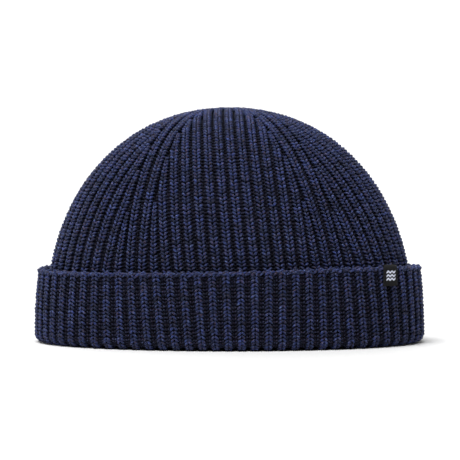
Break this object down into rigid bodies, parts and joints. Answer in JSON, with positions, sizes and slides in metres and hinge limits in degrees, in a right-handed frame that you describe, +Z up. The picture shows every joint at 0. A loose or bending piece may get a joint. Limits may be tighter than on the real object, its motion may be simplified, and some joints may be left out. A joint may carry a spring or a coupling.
{
  "type": "fisherman beanie",
  "caption": "Short knitted beanie in chunky one-by-one rib, with a dome narrowed along spines, a turned-up cuff and a small woven tab folded over the cuff's edge.",
  "frame": {"origin": "middle of the rim, on the surface that the hat stands on", "axes": "+X from the wearer's right to left along the widest side, -Y out of the front, +Z up to the top of the dome"},
  "size_m": [0.2198, 0.146, 0.1318],
  "materials": {
    "navy_knit": "matte heathered wool rib",
    "black_weave": "fine satin weave"
  },
  "bodies": {
    "root": {"crown": "navy_knit", "cuff": "navy_knit", "label": "black_weave"}
  },
  "joints": []
}
